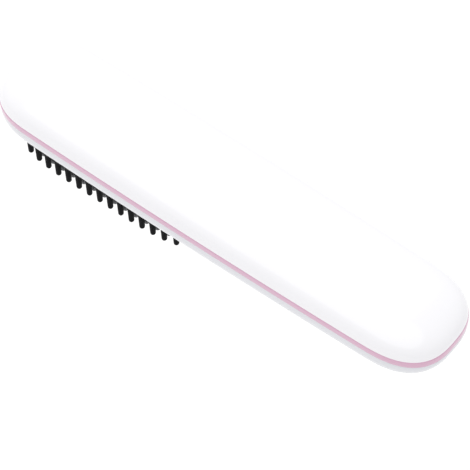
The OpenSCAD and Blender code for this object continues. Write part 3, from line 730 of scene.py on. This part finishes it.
class BRUSH_OT_front_cover(bpy.types.Operator):
    """Tooth side of the body, open for the comb, the buttons, the display and the charging port"""

    bl_idname = "brush.front_cover"
    bl_label = "Front cover"

    def execute(self, context):
        height = UNDER - BAND_LOW
        c = comb()
        past, collar = 1.95 * MM, 1.4 * MM
        a, b = c.guard_a + past, c.guard_b + past
        obj = shell_solid("front_cover", BAND_LOW, height, FRONT_SECTION)
        rise = [oval(a + collar, b + collar, z) for z in (UNDER, UNDER + 5.1 * MM)]
        insides = solid("insides", loft, rise)
        steps = [
            add("ears", rods, EARS, UNDER, EAR_LOW, EAR_R),
            add("posts", rods, SCREWS, UNDER, POST_TOP, POST_R),
            add("standoffs", rods, BOARD_FEET, UNDER, BOARD_Z, EAR_R),
        ]
        low, half, long, tall = UNDER / MM, 0.7, 8, 8.8
        for x in (20, 64):
            for y in (-21.4, 13.4):
                rib = between("rib", (x - half, y, low), (x + half, y + long, low + tall))
                steps.append(("UNION", rib))
        for x, d in KEYS.values():
            spot, r = (x * MM, 0, FLOOR - 0.5 * MM, FLOOR + 1.3 * MM), (d / 2 + 1.9) * MM
            steps.append(add("guide", rod, *spot, r, 64))
        steps.append(("INTERSECT", room("front_room", BAND_LOW, height, FRONT_SECTION, 1 * MM)))
        carve(insides, *steps)
        carve(obj, ("UNION", insides), *self.holes(a, b))
        # The front cover wears the greyer white, darkened by painted shade
        finish_piece(obj, "shell_white", ["front_shell"], finish=FINISHED["front_white"])
        return {"FINISHED"}

    def holes(self, a, b):
        """Everything cut out of the cover; a and b are the half sizes of the comb's window."""
        low, board = UNDER - 2 * MM, BOARD_Z / MM
        nose = between("nose", (83.6, -7.65, board - 0.15), (93.75, 7.65, board + 1.35))
        window = [oval(a, b, z, 48) for z in (low, UNDER + 6.5 * MM)]
        cuts = [
            cut("window", loft, window),
            cut("recess", rods, SCREWS, low, SEAT, 1.95 * MM),
            cut("clear", rods, SCREWS, low, POST_TOP + MM, CLEAR_R),
            cut("pilots", rods, EARS, UNDER + 3.6 * MM, UNDER + 8 * MM, PILOT_R),
            cut("board_pilots", rods, BOARD_FEET, FLOOR + 0.2 * MM, BOARD_Z + MM, PILOT_R),
            ("DIFFERENCE", nose),
        ]
        edge, bay = 0.25 * MM, FLOOR + 5 * MM
        for x, d in KEYS.values():
            r, wide = (d / 2 + 0.15) * MM, (d / 2 + 0.9) * MM
            mouth = UNDER - 7 * edge
            profile = [(0, mouth), (r + 8 * edge, mouth), (r, UNDER + edge)]
            profile += [(r, FLOOR), (wide, FLOOR), (wide, bay), (0, bay)]
            cuts.append(cut("key_hole", lathe, profile, x * MM, 0, 96))
        x = (LENS[0].x + LENS[1].x) / 2
        frame_out = rounded(14.8 * MM, 8.8 * MM, 1.9 * MM, UNDER - 0.1 * MM, x)
        levels = (UNDER + 0.2 * MM, FLOOR + MM)
        frame_in = [rounded(14.2 * MM, 8.2 * MM, 1.6 * MM, z, x) for z in levels]
        cuts.append(cut("lens_hole", loft, [frame_out, *frame_in]))
        ends = (PORT[0].x, PORT[1].x + 4 * MM)
        tunnel = [port_ring(x, 9.3 * MM, 3.62 * MM, 1.8 * MM) for x in ends]
        cuts.append(cut("port_hole", loft, tunnel))
        return cuts


class BRUSH_OT_trim_ring(bpy.types.Operator):
    """Pink ring between the shells, softly crowned, with its tongue"""

    bl_idname = "brush.trim_ring"
    bl_label = "Trim ring"

    def execute(self, context):
        b = body()
        inner, tongue = b.wall, b.wall - 0.8 * MM
        edge = ((0.32, 0), (0.12, 0.02), (0.0, 0.08))
        section = [(inset * MM, BAND_HIGH - z * MM) for inset, z in edge]
        for share, z in ((0.08, 0.2), (0.12, 0.38), (0.14, 0.7), (0.15, 1.2)):
            section.append((-share / 0.15 * b.proud, BAND_HIGH - z * MM))
        section += [(inset, BAND_LOW + BAND_HIGH - z) for inset, z in reversed(section)]
        section += [(tongue, BAND_LOW), (tongue, TRIM[0].z), (inner, TRIM[0].z)]
        section += [(inner, TRIM[1].z), (tongue, TRIM[1].z), (tongue, BAND_HIGH)]
        obj = solid("trim_ring", loft, [even_outline(z, inset) for inset, z in section], True)
        finish_piece(obj, "trim_pink", ["trim_band"])
        return {"FINISHED"}


# Comb


class BRUSH_OT_comb_cup(bpy.types.Operator):
    """Black cup with its slotted face, clamp posts and screw ears"""

    bl_idname = "brush.comb_cup"
    bl_label = "Comb cup"

    def execute(self, context):
        c = comb()
        past, soft = 1.8 * MM, 0.35 * MM
        a, b = c.guard_a + past, c.guard_b + past
        rings = [oval(a - inset, b - inset, FACE + rise, 48) for inset, rise in round_over(soft, 6)]
        obj = solid("comb_cup", loft, rings + [oval(a, b, CUP_TOP, 48)])
        shelf, ledge, well_floor = 1.5 * MM, 3.5 * MM, FACE + 2.6 * MM
        steps = []
        for name, inset, low in (("well", ledge, well_floor), ("bay", shelf, PLATE)):
            rings = [oval(a - inset, b - inset, z, 48) for z in (low, CUP_TOP + MM)]
            steps.append(cut(name, loft, rings))

        def slots(bm):
            for column in range(-end_column(), end_column() + 1):
                rows = heated_rows(column)
                wide, long = c.thick + 0.5 * MM, 2 * rows[-1] + c.broad + 0.3 * MM
                x = column * c.pitch - c.middle
                loft(bm, [
                    rounded(wide + 0.3 * MM, long + 0.1 * MM, 0.9 * MM, FACE - 0.05 * MM, x),
                    rounded(wide, long, 0.8 * MM, FACE + 0.2 * MM, x),
                    rounded(wide, long, 0.8 * MM, PLATE, x),
                ])

        steps.append(cut("slots", slots))
        posts = [(-c.middle / MM + x, y) for x in (-39, 39) for y in (-8, 8)]
        foot, bore, post_top = FACE + 2.4 * MM, FACE + 4.4 * MM, COMB[1].z
        steps.append(add("posts", rods, posts, foot, post_top, 2 * MM))
        low, top = CUP_TOP - MM, UNDER + 8.9 * MM
        for x, y in EARS:
            x, y = x * MM, y * MM
            out = math.copysign(MM, x + c.middle)
            root = math.copysign(a, out) - c.middle - (1.5 if out < 0 else 2.3) * out
            spans = [(root, x, EAR_LOW, top), (root, root + 1.5 * out, low, top)]
            for x0, x1, z0, z1 in spans:
                mid, wide = (x0 + x1) / 2, abs(x1 - x0)
                block = [rounded(wide, 2 * EAR_R, 0.05 * MM, z, mid, y, 1) for z in (z0, z1)]
                steps.append(add("arm", loft, block))
            steps.append(add("ear", rod, x, y, EAR_LOW, top, EAR_R))
        steps.append(cut("clear", rods, EARS, low, top + MM, CLEAR_R))
        steps.append(cut("bores", rods, posts, bore, post_top + MM, PILOT_R))
        carve(obj, *steps)
        finish_piece(obj, "comb_black", ["comb_frame"])
        return {"FINISHED"}


def end_column():
    """Number of the last column of heated teeth, counted from the middle one."""
    return (comb().columns - 1) // 2


def heated_rows(column):
    """Places of a column's heated teeth across the brush: four in an end column, or else five."""
    c = comb()
    ring = c.guard_b * (1 - (abs(column) * c.pitch / c.guard_a) ** c.square) ** (1 / c.square)
    reach = ring - c.root / 2 - 0.35 * MM - c.broad / 2
    steps = 4 if abs(column) < end_column() else 3
    return [reach * (2 * k / steps - 1) for k in range(steps + 1)]


def use_tree(obj, tree, **values):
    """Runs a geometry tree on an object, with its inputs set by name, and keeps the plain mesh."""
    modifier = obj.modifiers.new(tree.name, "NODES")
    modifier.node_group = tree
    for item in tree.interface.items_tree:
        key = item.name.replace(" ", "_").lower()
        if item.in_out == "INPUT" and key in values:
            modifier[item.identifier] = values[key]
    obj.update_tag()
    return plain_mesh(obj)


def guard_places():
    """Places of the guard teeth: at the pitch along each side, and evenly round each end."""
    c = comb()
    ring = oval(c.guard_a, c.guard_b, 0)
    start = 3 * len(ring) // 4
    ring = ring[start:] + ring[: start + 1]
    run = [0.0]
    for here, there in zip(ring, ring[1:]):
        run.append(run[-1] + (there - here).length)
    half, along = run[-1] / 2, (c.columns - 1) / 2 * c.pitch
    step = (half - 2 * along) / (c.ends + 1)
    places = []
    for side in (0, half):
        goals = [side - along + k * c.pitch for k in range(c.columns)]
        goals += [side + along + k * step for k in range(1, c.ends + 1)]
        for goal in goals:
            goal %= run[-1]
            i = max(j for j in range(len(ring) - 1) if run[j] <= goal)
            places.append(ring[i].lerp(ring[i + 1], (goal - run[i]) / (run[i + 1] - run[i])))
    return places


def guard_tree():
    """Round teeth set on points: tip on the ground, root let into the face."""
    sizes = {"Tip Radius": 1.05, "Root Radius": 1.3, "Flare": 0.1, "Reach": 10.6, "Let In": 0.9}
    inputs = [("Places", "NodeSocketGeometry")]
    inputs += [(name, "NodeSocketFloat", mm * MM) for name, mm in sizes.items()]
    inputs.append(("Finish", "NodeSocketMaterial"))
    outputs = [("Teeth", "NodeSocketGeometry")]
    tree, start, end = new_group("GeometryNodeTree", "Guard Teeth", inputs, outputs)
    tip, root, flare, reach, let_in = (Term(tree, socket) for socket in start.outputs[1:6])
    line = put(tree, "GeometryNodeCurvePrimitiveLine")
    fine = put(tree, "GeometryNodeResampleCurve", Curve=line.outputs[0], Count=26)
    factor = Term(tree, put(tree, "GeometryNodeSplineParameter").outputs["Factor"])
    spot = put(tree, "ShaderNodeCombineXYZ", Z=factor**2.2 * (reach + let_in))
    shaped = put(
        tree, "GeometryNodeSetPosition", Geometry=fine.outputs[0], Position=spot.outputs[0]
    )
    position = put(tree, "GeometryNodeInputPosition")
    height = Term(tree, put(tree, "ShaderNodeSeparateXYZ", Vector=position.outputs[0]).outputs["Z"])
    low = height.math("MINIMUM", tip)
    dome = ((tip * 2 - low) * low).math("MAXIMUM", 0.0).math("SQRT")
    taper = (root - tip) * (height / reach).math("MINIMUM", 1.0)
    near = ((height - reach) / (flare * 5) + 1).math("MAXIMUM", 0.0).math("MINIMUM", 1.0)
    circle = put(tree, "GeometryNodeCurvePrimitiveCircle", Resolution=20, Radius=1.0)
    tube = put(
        tree,
        "GeometryNodeCurveToMesh",
        Curve=shaped.outputs[0],
        Profile_Curve=circle.outputs[0],
        Scale=dome + taper + near**2.0 * flare,
        Fill_Caps=True,
    )
    welded = put(tree, "GeometryNodeMergeByDistance", Geometry=tube.outputs[0], Distance=0.00001)
    stamp_on(tree, start.outputs["Places"], welded.outputs[0], start.outputs["Finish"], end)
    return tree


def stamp_on(tree, places, piece, finish, end):
    """Ends a tree with the piece at every place, as real geometry with its finish."""
    stamped = put(tree, "GeometryNodeInstanceOnPoints", Points=places, Instance=piece)
    real = put(tree, "GeometryNodeRealizeInstances", Geometry=stamped.outputs[0])
    painted = put(tree, "GeometryNodeSetMaterial", Geometry=real.outputs[0], Material=finish)
    tree.links.new(painted.outputs[0], end.inputs[0])


def stamp_tree():
    """Copies of one piece set on points."""
    kinds = {"Places": "Geometry", "Piece": "Object", "Finish": "Material"}
    inputs = [(name, "NodeSocket" + kind) for name, kind in kinds.items()]
    outputs = [("Pieces", "NodeSocketGeometry")]
    tree, start, end = new_group("GeometryNodeTree", "Stamped Pieces", inputs, outputs)
    info = put(tree, "GeometryNodeObjectInfo", Object=start.outputs["Piece"])
    stamp_on(tree, start.outputs["Places"], info.outputs["Geometry"], start.outputs["Finish"], end)
    return tree


def points(name, places):
    """An object of loose points."""
    bm = bmesh.new()
    for place in places:
        bm.verts.new(place)
    return make(name, bm)


def stamp(name, piece, places, slot):
    """One object with a copy of the piece at each place; the pattern piece is removed."""
    tree = bpy.data.node_groups.get("Stamped Pieces") or stamp_tree()
    obj = use_tree(points(name, places), tree, piece=piece, finish=FINISHED[slot])
    discard(piece)
    return obj


class BRUSH_OT_guard_teeth(bpy.types.Operator):
    """Ring of black round teeth"""

    bl_idname = "brush.guard_teeth"
    bl_label = "Guard teeth"

    def execute(self, context):
        c = comb()
        obj = use_tree(
            points("guard_teeth", guard_places()),
            guard_tree(),
            tip_radius=c.tip / 2,
            root_radius=c.root / 2,
            flare=0.1 * MM,
            reach=FACE,
            let_in=0.9 * MM,
            finish=FINISHED["comb_black"],
        )
        finish_piece(obj, "comb_black", ["comb_frame"], angle=60)
        return {"FINISHED"}


class BRUSH_OT_heated_comb(bpy.types.Operator):
    """Coated plate with its rows of flat heated teeth"""

    bl_idname = "brush.heated_comb"
    bl_label = "Heated comb"

    def execute(self, context):
        c = comb()
        soft, corner, round_tip = 0.3 * MM, 0.5 * MM, c.thick / 2
        rings = []
        for share in (0.004, 0.06, 0.15, 0.3, 0.5, 0.75, 1.0):
            h = round_tip * share
            tx = math.sqrt(2 * round_tip * h - h * h)
            near = max(soft - h, 0)
            ty = c.broad / 2 - soft + math.sqrt(soft**2 - near**2)
            rings.append(rounded(2 * tx, 2 * ty, min(corner, 0.98 * tx), c.short + h, steps=4))
        rings.append(rounded(c.thick, c.broad, corner, PLATE + 0.5 * MM, steps=4))
        finger = solid("finger", loft, rings)
        finger.data.shade_smooth()
        columns = range(-end_column(), end_column() + 1)
        places = [(k * c.pitch - c.middle, y, 0) for k in columns for y in heated_rows(k)]
        teeth = stamp("heated_teeth", finger, places, "comb_grey")
        finish_piece(teeth, "comb_grey", ["heater_comb"], angle=50)
        low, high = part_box("heater_comb")
        a, b, edge = (high.x - low.x) / 2, (high.y - low.y) / 2, 0.25 * MM
        levels = ((edge, PLATE), (0, PLATE + edge), (0, high.z - edge), (edge, high.z))
        rings = [oval(a - inset, b - inset, z, square=8) for inset, z in levels]
        plate = solid("heater_plate", loft, rings)
        finish_piece(plate, "comb_grey", ["heater_comb"])
        return {"FINISHED"}


# Buttons, display, port and screws


def mark_shapes():
    """The generic mark sunk in each button, as closed outlines."""
    arc = []
    for radius, sweep in ((2.4, range(120, 421, 12)), (1.8, range(420, 119, -12))):
        for turn in (math.radians(t) for t in sweep):
            arc.append((radius * math.cos(turn), radius * math.sin(turn)))
    bar = [(-0.3, 0.6), (0.3, 0.6), (0.3, 2.8), (-0.3, 2.8)]
    a, b = 0.35, 1.5
    minus = [(-a, -b), (a, -b), (a, b), (-a, b)]
    plus = [(-b, -a), (-a, -a), (-a, -b), (a, -b), (a, -a), (b, -a)]
    plus += [(-x, -y) for x, y in plus]
    return {"power_button": [arc, bar], "warmer_button": [plus], "cooler_button": [minus]}


class BRUSH_OT_buttons(bpy.types.Operator):
    """Power button and the two temperature buttons, dished, with sunk marks"""

    bl_idname = "brush.buttons"
    bl_label = "Buttons"

    def execute(self, context):
        shapes = mark_shapes()
        for name, (x, d) in KEYS.items():
            low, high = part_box(name)
            r, dish, soft = d / 2 * MM, 0.12 * MM, 0.45 * MM
            profile = [((r - soft) * k / 8, low.z + dish * (1 - (k / 8) ** 2)) for k in range(9)]
            profile += [(r - inset, low.z + rise) for inset, rise in round_over(soft, 6)[1:]]
            brim, edge = (high.x - low.x) / 2, 0.1 * MM
            profile += [(r, FLOOR), (brim, FLOOR), (brim, high.z - edge)]
            profile += [(brim - edge, high.z), (0, high.z)]
            obj = solid(name.replace("button", "cap"), lathe, profile, x * MM, 0, 96)
            sunk = low.z + 0.3 * MM
            for shape in shapes[name]:
                flat = [Vector((x * MM + px * MM, py * MM, 0)) for px, py in shape]
                rings = [[Vector((p.x, p.y, z)) for p in flat] for z in (low.z - MM, sunk)]
                carve(obj, cut("mark", loft, rings))
            slot = "trim_pink" if name == "power_button" else "shell_white"
            obj.data.materials.append(FINISHED[slot])
            obj.data.materials.append(FINISHED["button_ink"])
            for face in obj.data.polygons:
                deep = abs(face.center.z - sunk) < 0.02 * MM and face.normal.z < -0.9
                face.material_index = 1 if deep else 0
            finish_piece(obj, slot, [name], rider=name)
        return {"FINISHED"}


class BRUSH_OT_display(bpy.types.Operator):
    """Smoked display window with rounded edges"""

    bl_idname = "brush.display"
    bl_label = "Display window"

    def execute(self, context):
        low, high = LENS
        x = (low.x + high.x) / 2
        long, wide, corner, soft = 14 * MM, 8 * MM, 1.5 * MM, 0.3 * MM
        rings = [
            rounded(long - 2 * inset, wide - 2 * inset, corner - inset, low.z + rise, x)
            for inset, rise in round_over(soft, 4)
        ]
        rings.append(rounded(long, wide, corner, FLOOR, x))
        rings += [rounded(long + 3 * MM, wide + 3 * MM, corner, z, x) for z in (FLOOR, high.z)]
        finish_piece(solid("display_window", loft, rings), "lens_smoke", ["display_lens"])
        return {"FINISHED"}


class BRUSH_OT_port(bpy.types.Operator):
    """Folded metal shell of the charging socket, and the contacts on its tongue"""

    bl_idname = "brush.port"
    bl_label = "Charging port"

    def execute(self, context):
        low, high = PORT
        wall, soft, fine = 0.3 * MM, 0.1 * MM, 0.03 * MM
        half_w, half_h = (high.y - low.y) / 2, (high.z - low.z) / 2

        def ring(x, inset):
            w, h = half_w - inset, half_h - inset
            return port_ring(x, 2 * w, 2 * h, h - 0.02 * MM, 10)

        fold = [(low.x, soft), (low.x + soft, 0), (high.x - soft, 0), (high.x - fine, fine)]
        fold += [(high.x, soft), (high.x, wall - soft / 2), (high.x - soft, wall)]
        fold.append((low.x + wall, wall))
        shell = solid("port_shell", loft, [ring(x, inset) for x, inset in fold])
        finish_piece(shell, "socket_steel", ["usb_shell"])
        tongue_end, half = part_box("usb_tongue")[1].x, 0.375 * MM
        strip = [rounded(3.6 * MM, 0.25 * MM, 0.05 * MM, z, 0, 0, 2) for z in (-half, half)]
        contact = solid("contact", loft, strip)
        places = [(tongue_end - 2.1 * MM, (k - 5.5) * 0.5 * MM, PORT_Z) for k in range(12)]
        obj = stamp("port_contacts", contact, places, "contact_gold")
        finish_piece(obj, "fuse_brass")
        return {"FINISHED"}


class BRUSH_OT_screws(bpy.types.Operator):
    """Cross-head screws in the recesses of the front cover"""

    bl_idname = "brush.screws"
    bl_label = "Shell screws"

    def execute(self, context):
        r, tall, thread, soft = 1.7 * MM, 1.3 * MM, 0.81 * MM, 0.6 * MM
        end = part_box("shell_screws")[1].z - SEAT
        profile = [(0, -tall)] + [(r - inset, rise - tall) for inset, rise in round_over(soft, 5)]
        profile += [(r, 0), (thread, 0), (thread, end), (0, end)]
        screw = solid("screw", lathe, profile, 0, 0, 40)
        cuts = []
        for turn in (0, 90):
            spin = Matrix.Rotation(math.radians(turn), 3, "Z")
            slot = [
                [spin @ p for p in rounded(long * MM, wide * MM, 0.1 * MM, z, steps=2)]
                for z, long, wide in ((-tall - 0.1 * MM, 2.1, 0.55), (-tall + 0.75 * MM, 1.0, 0.35))
            ]
            cuts.append(cut("slot", loft, slot))
        carve(screw, *cuts)
        screw.data.shade_smooth()
        screw.data.set_sharp_from_angle(angle=math.radians(32))
        places = [(x * MM, y * MM, SEAT) for x, y in SCREWS]
        obj = stamp("cross_screws", screw, places, "screw_steel")
        finish_piece(obj, "screw_steel", ["shell_screws"])
        return {"FINISHED"}


# Studio


LAMP_SIZE = 2
BRUSH_MIDDLE = Vector((0, 0, 0.02))


def area_light(name, where, power):
    """A soft round lamp that points at the brush."""
    data = bpy.data.lights.new(name, "AREA")
    data.shape = "DISK"
    data.size = LAMP_SIZE
    data.energy = power
    obj = bpy.data.objects.new(name, data)
    obj.location = Vector(where)
    obj.rotation_euler = (BRUSH_MIDDLE - obj.location).to_track_quat("-Z", "Y").to_euler()
    bpy.context.scene.collection.objects.link(obj)
    return obj


class BRUSH_OT_studio(bpy.types.Operator):
    """Pale floor that is clear from below, soft lights and a camera at the photograph's angle"""

    bl_idname = "brush.studio"
    bl_label = "Studio"

    def execute(self, context):
        scene = context.scene
        s = scene.brush_studio
        bm = bmesh.new()
        bmesh.ops.create_grid(bm, x_segments=8, y_segments=8, size=3)
        bmesh.ops.translate(bm, verts=bm.verts, vec=(0, 0, -s.drop))
        floor = make("floor", bm)
        if floor.data.polygons[0].normal.z < 0:
            floor.data.flip_normals()
        paint = finish("floor_paper", "satin", colours().floor, 0.8, 300, 0.01, tone=0.01)
        tree = paint.node_tree
        side = Term(tree, put(tree, "ShaderNodeNewGeometry").outputs["Backfacing"])
        plug(tree, tree.nodes["Principled BSDF"].inputs["Alpha"], side * -1.0 + 1.0)
        floor.data.materials.append(paint)
        world = bpy.data.worlds.new("Studio")
        world.use_nodes = True
        world.node_tree.nodes["Background"].inputs["Color"].default_value = (1, 1, 1, 1)
        world.node_tree.nodes["Background"].inputs["Strength"].default_value = s.sky
        scene.world = world
        area_light("far_light", (-0.9, 0.8, 1.3), s.far)
        area_light("near_light", (0.0, -0.45, 1.55), s.near)
        az, el, roll = (math.radians(v) for v in (s.azimuth, s.elevation, s.roll))
        right = Vector((math.cos(az), math.sin(az), 0))
        back = Vector((math.sin(az) * math.cos(el), -math.cos(az) * math.cos(el), math.sin(el)))
        up = back.cross(right)
        side = right * math.cos(roll) + up * math.sin(roll)
        top = up * math.cos(roll) - right * math.sin(roll)
        data = bpy.data.cameras.new("camera")
        data.lens = s.lens
        data.sensor_width = 36
        data.clip_start, data.clip_end = 0.05, 20
        cam = bpy.data.objects.new("camera", data)
        where = Vector((0, 0, s.aim)) + back * s.distance + side * s.across - top * s.below
        turned = Matrix((side, top, back)).transposed().to_4x4()
        cam.matrix_world = Matrix.Translation(where) @ turned
        scene.collection.objects.link(cam)
        scene.camera = cam
        scene.view_settings.view_transform = "Standard"
        return {"FINISHED"}


OPERATORS = [
    BRUSH_OT_finishes,
    BRUSH_OT_back_cover,
    BRUSH_OT_front_cover,
    BRUSH_OT_trim_ring,
    BRUSH_OT_comb_cup,
    BRUSH_OT_guard_teeth,
    BRUSH_OT_heated_comb,
    BRUSH_OT_buttons,
    BRUSH_OT_display,
    BRUSH_OT_port,
    BRUSH_OT_screws,
    BRUSH_OT_studio,
]


class BRUSH_PT_panel(bpy.types.Panel):
    """Lists the pieces in the order in which they are made"""

    bl_label = "Straightening brush"
    bl_idname = "BRUSH_PT_panel"
    bl_space_type = "VIEW_3D"
    bl_region_type = "UI"
    bl_category = "Brush"

    def draw(self, context):
        for kind in OPERATORS:
            self.layout.operator(kind.bl_idname)
        for name, group in GROUPS.items():
            box = self.layout.box()
            settings = getattr(context.scene, name)
            for key in group.__annotations__:
                box.prop(settings, key)


def register():
    for kind in (*GROUPS.values(), *OPERATORS, BRUSH_PT_panel):
        bpy.utils.register_class(kind)
    for name, group in GROUPS.items():
        setattr(bpy.types.Scene, name, bpy.props.PointerProperty(type=group))


def unregister():
    for name in GROUPS:
        delattr(bpy.types.Scene, name)
    for kind in reversed((*GROUPS.values(), *OPERATORS, BRUSH_PT_panel)):
        bpy.utils.unregister_class(kind)


def main():
    register()
    for kind in OPERATORS:
        family, name = kind.bl_idname.split(".")
        getattr(getattr(bpy.ops, family), name)()


if __name__ == "__main__":
    main()
